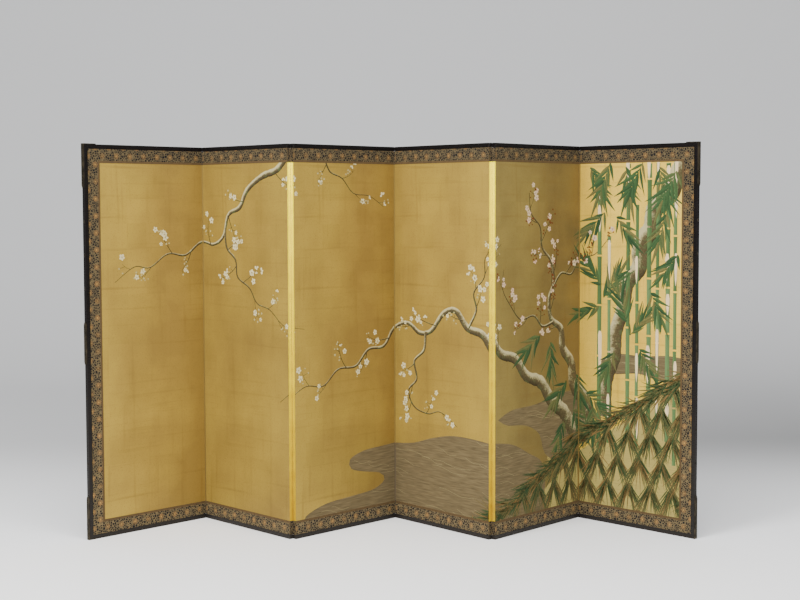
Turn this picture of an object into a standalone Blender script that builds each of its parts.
"""A six-panel folding partition screen that stands in a zigzag.

Each panel is a cedar lattice with a gilded paper face, a backing paper, a lacquered rail along
its top and bottom and a brocade border. Paper hinges, split at the fold into two leaves, join
the panels. The two end panels also carry a side rail with metal fittings.

Lengths are in metres and +Z is up. The front faces look along -Y, and the origin is the centre
of the bounding box at floor level. In a panel's own frame u runs along its width from its left
end, y runs back from the front plane of its rails, and z runs up from the floor.
"""
import math

import bmesh
import bpy
from mathutils import Matrix, Vector

# ---- Driving dimensions -----------------------------------------------------------------------
PANEL_HEIGHT = 1.700           # floor to the top of the rails
PANEL_WIDTH = 0.620            # end to end of an inner panel's rails
PANEL_DEPTH = 0.018            # front to back of the rails
PANEL_ANGLES = (46.5, -47.5, 46.5, -49.5, 48.5, -46.0)  # each panel's direction in plan, degrees

TOUCH_GAP = 0.0003             # clearance between pieces that touch
FOLD_GAP = 0.0002              # from a rail's end, and from its face, to the fold's axis

RAIL_FACE = 0.019              # height of the top and bottom rails
SIDE_RAIL_FACE = 0.019         # width of the side rails
RAIL_ROUND = 0.0015            # rounding of the rails' edges
ROUND_STEPS = 2

FACE_RECESS = 0.0015           # papers lie this far inside the rails' faces
PAPER_THICKNESS = 0.0006       # the face and backing papers, each a laminate of several sheets
BROCADE_THICKNESS = 0.0005
BORDER_WIDTH = 0.060           # brocade border with its edging

LATTICE_COLUMNS = 3            # cells across the core
LATTICE_ROWS = 8               # cells up the core
LATTICE_STILE = 0.022          # outer members
LATTICE_RIB = 0.012            # inner members

LINING_THICKNESS = 0.0005      # paper that wraps a panel's fold edge
STRAP_THICKNESS = 0.0004       # hinge straps pasted on the lining
STRAP_COUNT = 6                # straps along a fold, on the two leaves in turn; the end ones are half length
STRAP_CLEARANCE = 0.001        # between one strap's end and the next one's
STRAP_INSET = 0.0004           # straps stop short of the lining's edge away from the fold

FITTING_THICKNESS = 0.003
CORNER_SIDE_LEG = 0.190        # corner fitting's leg along the side rail
CORNER_RAIL_LEG = 0.065        # corner fitting's leg along the top or bottom rail
MIDDLE_FITTING_LENGTH = 0.185
FITTING_TIP = 0.014            # length of a fitting's tapered end
TIP_STEPS = 4                  # sections along the taper
TIP_BLUNT = 0.12               # end width of the taper, as a share of the fitting's width
NAIL_RADIUS = 0.0026           # round heads that hold the fittings
NAIL_HEIGHT = 0.0012
STUD_RADIUS = 0.0060           # large round studs on the side rails
STUD_HEIGHT = 0.0035
STUDS_PER_SPAN = 3             # between a corner fitting and the middle fitting
DOME_SEGMENTS = 12
DOME_RINGS = 6

# ---- Sizes that follow from them --------------------------------------------------------------
PANEL_COUNT = len(PANEL_ANGLES)
ROOT_PANEL = 2                 # the third panel carries the others
END_PANEL_WIDTH = PANEL_WIDTH + SIDE_RAIL_FACE + TOUCH_GAP
FOLD_EDGE_INSET = TOUCH_GAP + LINING_THICKNESS + STRAP_THICKNESS
PAPER_BACK = FACE_RECESS + PAPER_THICKNESS
CORE_FRONT = PAPER_BACK + TOUCH_GAP
CORE_DEPTH = PANEL_DEPTH - 2 * CORE_FRONT
FIELD_LOW = RAIL_FACE + TOUCH_GAP
FIELD_HIGH = PANEL_HEIGHT - RAIL_FACE - TOUCH_GAP
FIELD_HEIGHT = FIELD_HIGH - FIELD_LOW
FITTING_PROUD = TOUCH_GAP + FITTING_THICKNESS
TOTAL_HEIGHT = PANEL_HEIGHT + FITTING_PROUD

MATERIALS = {
    # name: (base colour, roughness, metallic)
    "cedar": ((0.60, 0.38, 0.20), 0.70, 0.0),
    "gilded_paper": ((0.62, 0.42, 0.14), 0.42, 0.6),
    "backing_paper": ((0.10, 0.12, 0.12), 0.85, 0.0),
    "black_lacquer": ((0.012, 0.011, 0.011), 0.18, 0.0),
    "brocade": ((0.11, 0.075, 0.04), 0.80, 0.0),
    "hinge_paper": ((0.66, 0.46, 0.15), 0.45, 0.5),
    "patinated_copper": ((0.085, 0.075, 0.05), 0.42, 0.9),
}


# ---- Scene and shape helpers ------------------------------------------------------------------
def clear_scene():
    for old in list(bpy.data.objects):
        bpy.data.objects.remove(old, do_unlink=True)


def new_collection(name):
    made = bpy.data.collections.new(name)
    bpy.context.scene.collection.children.link(made)
    return made


def make_materials():
    made = {}
    for name, (colour, roughness, metallic) in MATERIALS.items():
        material = bpy.data.materials.new(name)
        material.use_nodes = True
        shader = material.node_tree.nodes["Principled BSDF"]
        shader.inputs["Base Color"].default_value = (*colour, 1.0)
        shader.inputs["Roughness"].default_value = roughness
        shader.inputs["Metallic"].default_value = metallic
        material.diffuse_color = (*colour, 1.0)
        made[name] = material
    return made


def mesh_from(bm, name):
    mesh = bpy.data.meshes.new(name)
    bm.to_mesh(mesh)
    bm.free()
    return mesh


def box_mesh(name, low, high):
    """A box between two corners, in the frame of the panel's empty."""
    size = Vector(high) - Vector(low)
    middle = (Vector(high) + Vector(low)) / 2
    bm = bmesh.new()
    bmesh.ops.create_cube(bm, size=1.0, matrix=Matrix.Translation(middle) @ Matrix.Diagonal((*size, 1.0)))
    return mesh_from(bm, name)


def domes_mesh(name, centres, radius, height, axis):
    """Flattened spheres, one per centre, that rise by height along axis (0, 1 or 2)."""
    scale = [radius, radius, radius]
    scale[axis] = height
    bm = bmesh.new()
    for centre in centres:
        shape = Matrix.Translation(centre) @ Matrix.Diagonal((*scale, 1.0))
        if axis == 0:
            shape = shape @ Matrix.Rotation(math.pi / 2, 4, "Y")
        bmesh.ops.create_uvsphere(bm, u_segments=DOME_SEGMENTS, v_segments=DOME_RINGS, radius=1.0, matrix=shape)
    return mesh_from(bm, name)


def add_bevel(obj, width):
    bevel = obj.modifiers.new("rounded_edges", "BEVEL")
    bevel.width = width
    bevel.segments = ROUND_STEPS
    bevel.limit_method = "ANGLE"


def add_boolean(obj, operation, cutter):
    boolean = obj.modifiers.new(operation.lower(), "BOOLEAN")
    boolean.operation = operation
    boolean.solver = "EXACT"
    boolean.object = cutter


# ---- Plan: where each panel stands ------------------------------------------------------------
class Panel:
    """One panel's sizes, and its place in the zigzag."""

    def __init__(self, index):
        self.index = index
        self.name = f"panel_{index + 1}"
        self.angle = math.radians(PANEL_ANGLES[index])
        self.outer = {0: -1, PANEL_COUNT - 1: 1}.get(index, 0)   # which end carries a side rail
        self.width = END_PANEL_WIDTH if self.outer else PANEL_WIDTH
        side = SIDE_RAIL_FACE + TOUCH_GAP
        self.rail_low = side if self.outer < 0 else 0.0
        self.rail_high = self.width - (side if self.outer > 0 else 0.0)
        self.field_low = side if self.outer < 0 else FOLD_EDGE_INSET
        self.field_high = self.width - (side if self.outer > 0 else FOLD_EDGE_INSET)
        self.corner = Vector((0.0, 0.0))   # plan position of the front left corner
        self.empty = None
        self.pivot = Vector((0.0, 0.0))    # the empty's place in the panel's own frame

    def fold_point(self, end):
        """The fold axis at this end (-1 left, 1 right) in the panel's own frame."""
        turn = fold_turn(self.index - 1) if end < 0 else fold_turn(self.index)
        u = -FOLD_GAP if end < 0 else self.width + FOLD_GAP
        y = -FOLD_GAP if turn < 0 else PANEL_DEPTH + FOLD_GAP
        return Vector((u, y))

    def to_plan(self, point):
        return self.corner + Matrix.Rotation(self.angle, 2) @ Vector(point)

    def outline(self):
        """The panel's plan corners, with the fittings that stand proud of its outer end."""
        low = -FITTING_PROUD if self.outer < 0 else 0.0
        high = self.width + (FITTING_PROUD if self.outer > 0 else 0.0)
        return [self.to_plan((u, y)) for u in (low, high) for y in (0.0, PANEL_DEPTH)]


def fold_turn(fold):
    """Signed turn in degrees at a fold: negative where the panels' fronts face each other."""
    return PANEL_ANGLES[fold + 1] - PANEL_ANGLES[fold]


def lay_out_panels():
    """Panels joined end to end at their fold axes, with the whole centred over the origin."""
    panels = [Panel(index) for index in range(PANEL_COUNT)]
    for left, right in zip(panels, panels[1:]):
        meeting = left.to_plan(left.fold_point(1))
        right.corner = meeting - Matrix.Rotation(right.angle, 2) @ right.fold_point(-1)
    corners = [corner for panel in panels for corner in panel.outline()]
    middle = Vector([(min(c[k] for c in corners) + max(c[k] for c in corners)) / 2 for k in (0, 1)])
    for panel in panels:
        panel.corner = panel.corner - middle
    return panels


def add_empties(panels, collection):
    """An empty on the fold axis that carries each panel, chained outwards from the root panel."""
    order = list(range(ROOT_PANEL, -1, -1)) + list(range(ROOT_PANEL + 1, PANEL_COUNT))
    world = {}
    for index in order:
        panel = panels[index]
        panel.pivot = panel.fold_point(1 if index < ROOT_PANEL else -1)
        place = Matrix.Translation((*panel.to_plan(panel.pivot), 0.0)) @ Matrix.Rotation(panel.angle, 4, "Z")
        empty = bpy.data.objects.new(f"{panel.name}_fold_axis", None)
        collection.objects.link(empty)
        empty.empty_display_size = PANEL_DEPTH
        if index != ROOT_PANEL:
            carrier = index + 1 if index < ROOT_PANEL else index - 1
            empty.parent = panels[carrier].empty
            empty.matrix_local = world[carrier].inverted() @ place
        else:
            empty.matrix_local = place
        world[index] = place
        panel.empty = empty


class Shop:
    """Places finished meshes and curves on their panels."""

    def __init__(self):
        self.parts = new_collection("folding_screen")
        self.cutters = new_collection("cutters")
        self.materials = make_materials()

    def add(self, name, data, panel, material):
        obj = bpy.data.objects.new(name, data)
        self.parts.objects.link(obj)
        data.materials.append(self.materials[material])
        obj.parent = panel.empty
        obj.location = (-panel.pivot.x, -panel.pivot.y, 0.0)
        return obj

    def cutter(self, name, data, panel):
        obj = bpy.data.objects.new(name, data)
        self.cutters.objects.link(obj)
        obj.parent = panel.empty
        obj.location = (-panel.pivot.x, -panel.pivot.y, 0.0)
        obj.hide_render = True
        obj.display_type = "WIRE"
        return obj


# ---- Panel pieces -----------------------------------------------------------------------------
def make_core(shop, panel):
    """The cedar lattice: a board with a grid of cells cut through it."""
    low = Vector((panel.field_low, CORE_FRONT, FIELD_LOW))
    high = Vector((panel.field_high, CORE_FRONT + CORE_DEPTH, FIELD_HIGH))
    core = shop.add(f"{panel.name}_core", box_mesh("core", low, high), panel, "cedar")
    cell_width = (high.x - low.x - 2 * LATTICE_STILE - (LATTICE_COLUMNS - 1) * LATTICE_RIB) / LATTICE_COLUMNS
    cell_height = (high.z - low.z - 2 * LATTICE_STILE - (LATTICE_ROWS - 1) * LATTICE_RIB) / LATTICE_ROWS
    first_low = Vector((low.x + LATTICE_STILE, low.y - CORE_DEPTH, low.z + LATTICE_STILE))
    first_high = first_low + Vector((cell_width, 3 * CORE_DEPTH, cell_height))
    cells = shop.cutter(f"{panel.name}_cells", box_mesh("cells", first_low, first_high), panel)
    steps = ((LATTICE_COLUMNS, (cell_width + LATTICE_RIB, 0.0, 0.0)),
             (LATTICE_ROWS, (0.0, 0.0, cell_height + LATTICE_RIB)))
    for count, step in steps:
        array = cells.modifiers.new("repeat", "ARRAY")
        array.count = count
        array.use_relative_offset = False
        array.use_constant_offset = True
        array.constant_offset_displace = step
    add_boolean(core, "DIFFERENCE", cells)


def make_papers(shop, panel):
    """The gilded face paper and the backing paper, one on each side of the core."""
    sheets = (("painting", FACE_RECESS, "gilded_paper"),
              ("backing", PANEL_DEPTH - FACE_RECESS - PAPER_THICKNESS, "backing_paper"))
    for suffix, front, material in sheets:
        low = (panel.field_low, front, FIELD_LOW)
        high = (panel.field_high, front + PAPER_THICKNESS, FIELD_HIGH)
        shop.add(f"{panel.name}_{suffix}", box_mesh(suffix, low, high), panel, material)


def make_rails(shop, panel):
    """The lacquered top and bottom rails. An end panel's bottom rail is cut to let the corner fitting in flush."""
    for suffix, bottom in (("bottom_rail", 0.0), ("top_rail", PANEL_HEIGHT - RAIL_FACE)):
        low = (panel.rail_low, 0.0, bottom)
        high = (panel.rail_high, PANEL_DEPTH, bottom + RAIL_FACE)
        rail = shop.add(f"{panel.name}_{suffix}", box_mesh(suffix, low, high), panel, "black_lacquer")
        add_bevel(rail, RAIL_ROUND)
        if panel.outer and suffix == "bottom_rail":
            reach = CORNER_RAIL_LEG + TOUCH_GAP
            ends = (-PANEL_DEPTH, reach) if panel.outer < 0 else (panel.width - reach, panel.width + PANEL_DEPTH)
            low = (ends[0], -PANEL_DEPTH, -RAIL_FACE)
            high = (ends[1], 2 * PANEL_DEPTH, FITTING_PROUD)
            add_boolean(rail, "DIFFERENCE", shop.cutter(f"{panel.name}_rebate", box_mesh("rebate", low, high), panel))


def make_brocade(shop, panel):
    """The brocade border in front of the face paper: strips on inner panels, a C on the end panels."""
    front = FACE_RECESS - TOUCH_GAP - BROCADE_THICKNESS
    if not panel.outer:
        for suffix, bottom in (("bottom_brocade", FIELD_LOW), ("top_brocade", FIELD_HIGH - BORDER_WIDTH)):
            low = (panel.field_low, front, bottom)
            high = (panel.field_high, front + BROCADE_THICKNESS, bottom + BORDER_WIDTH)
            shop.add(f"{panel.name}_{suffix}", box_mesh(suffix, low, high), panel, "brocade")
        return
    outer, fold = (panel.field_low, panel.field_high) if panel.outer < 0 else (panel.field_high, panel.field_low)
    inside = outer - panel.outer * BORDER_WIDTH
    points = ((outer, FIELD_LOW), (fold, FIELD_LOW), (fold, FIELD_LOW + BORDER_WIDTH),
              (inside, FIELD_LOW + BORDER_WIDTH), (inside, FIELD_HIGH - BORDER_WIDTH),
              (fold, FIELD_HIGH - BORDER_WIDTH), (fold, FIELD_HIGH), (outer, FIELD_HIGH))
    curve = bpy.data.curves.new("brocade", "CURVE")
    curve.dimensions = "2D"
    curve.fill_mode = "BOTH"
    curve.extrude = BROCADE_THICKNESS / 2
    spline = curve.splines.new("POLY")
    spline.points.add(len(points) - 1)
    for spot, (u, z) in zip(spline.points, points):
        spot.co = (u, z, 0.0, 1.0)
    spline.use_cyclic_u = True
    brocade = shop.add(f"{panel.name}_brocade", curve, panel, "brocade")
    brocade.rotation_euler = (math.pi / 2, 0.0, 0.0)
    brocade.location.y += front + BROCADE_THICKNESS / 2


def make_hinge(shop, left, right):
    """A paper hinge split at its fold: each leaf lines a panel's edge and carries every second strap."""
    at_front = fold_turn(left.index) < 0
    lining_span = (0.0, PANEL_DEPTH - FACE_RECESS) if at_front else (FACE_RECESS, PANEL_DEPTH)
    strap_span = ((lining_span[0], lining_span[1] - STRAP_INSET) if at_front
                  else (lining_span[0] + STRAP_INSET, lining_span[1]))
    full_strap = FIELD_HEIGHT / (STRAP_COUNT - 1)
    for side, panel in enumerate((left, right)):
        edge = panel.width if side == 0 else 0.0
        inward = -1 if side == 0 else 1
        outer_face = edge + inward * STRAP_THICKNESS
        inner_face = outer_face + inward * LINING_THICKNESS
        low = (min(outer_face, inner_face), lining_span[0], FIELD_LOW)
        high = (max(outer_face, inner_face), lining_span[1], FIELD_HIGH)
        name = f"fold_{left.index + 1}_{right.index + 1}_{('left', 'right')[side]}_hinge_leaf"
        leaf = shop.add(name, box_mesh("leaf", low, high), panel, "hinge_paper")
        middle_face = (outer_face + inner_face) / 2
        bm = bmesh.new()
        for strap in range(side, STRAP_COUNT, 2):
            bottom = FIELD_LOW + max(0.0, (strap - 0.5) * full_strap) + STRAP_CLEARANCE
            top = FIELD_LOW + min(FIELD_HEIGHT, (strap + 0.5) * full_strap) - STRAP_CLEARANCE
            size = (abs(middle_face - edge), strap_span[1] - strap_span[0], top - bottom)
            centre = ((middle_face + edge) / 2, sum(strap_span) / 2, (top + bottom) / 2)
            shape = Matrix.Translation(centre) @ Matrix.Diagonal((*size, 1.0))
            bmesh.ops.create_cube(bm, size=1.0, matrix=shape)
        add_boolean(leaf, "UNION", shop.cutter(f"{name}_straps", mesh_from(bm, "straps"), panel))


# ---- End panel pieces -------------------------------------------------------------------------
def tip_stations(length):
    """Distances from a fitting's end, closer together along its taper, each with its half width."""
    stations = []
    for step in range(TIP_STEPS + 1):
        share = (step / TIP_STEPS) ** 2
        width = TIP_BLUNT + (1.0 - TIP_BLUNT) * math.sqrt(share)
        stations.append((share * FITTING_TIP, width * PANEL_DEPTH / 2))
    return stations + [(length, PANEL_DEPTH / 2)]


def fitting_stations(first, second):
    """Stations along a strip of metal from its first end to its second, measured from the bend."""
    rising = [(distance - first, width) for distance, width in tip_stations(first)]
    falling = [(second - distance, width) for distance, width in reversed(tip_stations(second))]
    return rising + falling[1:]


def sheet_metal(name, stations, fold, turned_over):
    """A strip with one row of vertices per station, bent by the fold function and thickened outwards."""
    bm = bmesh.new()
    bmesh.ops.create_grid(bm, x_segments=len(stations) - 1, y_segments=2, size=1.0)
    for vertex in bm.verts:
        row = round((vertex.co.x + 1.0) / 2.0 * (len(stations) - 1))
        distance, half_width = stations[row]
        vertex.co = fold(distance, PANEL_DEPTH / 2 + vertex.co.y * half_width)
    if turned_over:
        bmesh.ops.reverse_faces(bm, faces=bm.faces)
    return mesh_from(bm, name)


def make_fitting(shop, panel, name, stations, fold, turned_over, nails):
    fitting = shop.add(name, sheet_metal("fitting", stations, fold, turned_over), panel, "patinated_copper")
    shell = fitting.modifiers.new("thickness", "SOLIDIFY")
    shell.thickness = FITTING_THICKNESS
    shell.offset = 1.0
    shell.use_even_offset = True
    for count, (centres, axis) in enumerate(nails):
        heads = domes_mesh("nail_heads", centres, NAIL_RADIUS, NAIL_HEIGHT, axis)
        add_boolean(fitting, "UNION", shop.cutter(f"{name}_nails_{count + 1}", heads, panel))


def make_end_hardware(shop, panel):
    """The side rail with its studs, a fitting at each corner and one at mid height."""
    side = "left" if panel.outer < 0 else "right"
    rail_face = 0.0 if panel.outer < 0 else panel.width
    seat = rail_face + panel.outer * TOUCH_GAP            # where the fittings' inner faces lie
    proud = rail_face + panel.outer * FITTING_PROUD       # where their outer faces lie
    mid_depth = PANEL_DEPTH / 2
    mid_height = PANEL_HEIGHT / 2

    inner_face = rail_face - panel.outer * SIDE_RAIL_FACE
    low = (min(rail_face, inner_face), 0.0, FITTING_PROUD)
    high = (max(rail_face, inner_face), PANEL_DEPTH, PANEL_HEIGHT)
    rail = shop.add(f"{side}_side_rail", box_mesh("side_rail", low, high), panel, "black_lacquer")
    add_bevel(rail, RAIL_ROUND)
    span_start = mid_height + MIDDLE_FITTING_LENGTH / 2
    span = TOTAL_HEIGHT - CORNER_SIDE_LEG - span_start
    studs = []
    for step in range(1, STUDS_PER_SPAN + 1):
        rise = span_start - mid_height + span * step / (STUDS_PER_SPAN + 1)
        studs += [(rail_face, mid_depth, mid_height + rise), (rail_face, mid_depth, mid_height - rise)]
    domes = domes_mesh("studs", studs, STUD_RADIUS, STUD_HEIGHT, 0)
    add_boolean(rail, "UNION", shop.cutter(f"{side}_studs", domes, panel))

    nail_inset = FITTING_TIP + NAIL_RADIUS
    for level, corner_z, up in (("top", PANEL_HEIGHT + TOUCH_GAP, 1), ("bottom", FITTING_THICKNESS, -1)):
        def fold(distance, depth, corner_z=corner_z, up=up):
            if distance < 0.0:
                return (seat, depth, corner_z + up * distance)
            return (seat - panel.outer * distance, depth, corner_z)

        side_leg = CORNER_SIDE_LEG - FITTING_THICKNESS
        rail_leg = CORNER_RAIL_LEG + TOUCH_GAP
        side_nails = [(proud, mid_depth, corner_z - up * rise) for rise in (2 * nail_inset, side_leg - nail_inset)]
        nails = [(side_nails, 0)]
        if up > 0:
            nails.append(([(seat - panel.outer * (rail_leg - nail_inset), mid_depth, TOTAL_HEIGHT)], 2))
        make_fitting(shop, panel, f"{level}_{side}_corner_fitting", fitting_stations(side_leg, rail_leg),
                     fold, panel.outer * up > 0, nails)

    half = MIDDLE_FITTING_LENGTH / 2
    ends = [(proud, mid_depth, mid_height + end * (half - nail_inset)) for end in (-1, 1)]
    make_fitting(shop, panel, f"{side}_middle_fitting", fitting_stations(half, half),
                 lambda distance, depth: (seat, depth, mid_height + distance), panel.outer > 0, [(ends, 0)])


def main():
    clear_scene()
    shop = Shop()
    panels = lay_out_panels()
    add_empties(panels, shop.parts)
    for panel in panels:
        make_core(shop, panel)
        make_papers(shop, panel)
        make_rails(shop, panel)
        make_brocade(shop, panel)
        if panel.outer:
            make_end_hardware(shop, panel)
    for left, right in zip(panels, panels[1:]):
        make_hinge(shop, left, right)
    for left, right in zip(panels, panels[1:]):
        axis = left.to_plan(left.fold_point(1))
        turn = abs(fold_turn(left.index))
        print(f"fold_{left.index + 1}_{right.index + 1}: axis at {axis.x:.6f}, {axis.y:.6f}, "
              f"opens {turn:.1f} and closes {180 - turn:.1f} degrees")
    for panel in panels:
        foot = panel.to_plan((panel.width / 2, PANEL_DEPTH / 2))
        print(f"{panel.name} foot at {foot.x:.6f}, {foot.y:.6f}")


main()
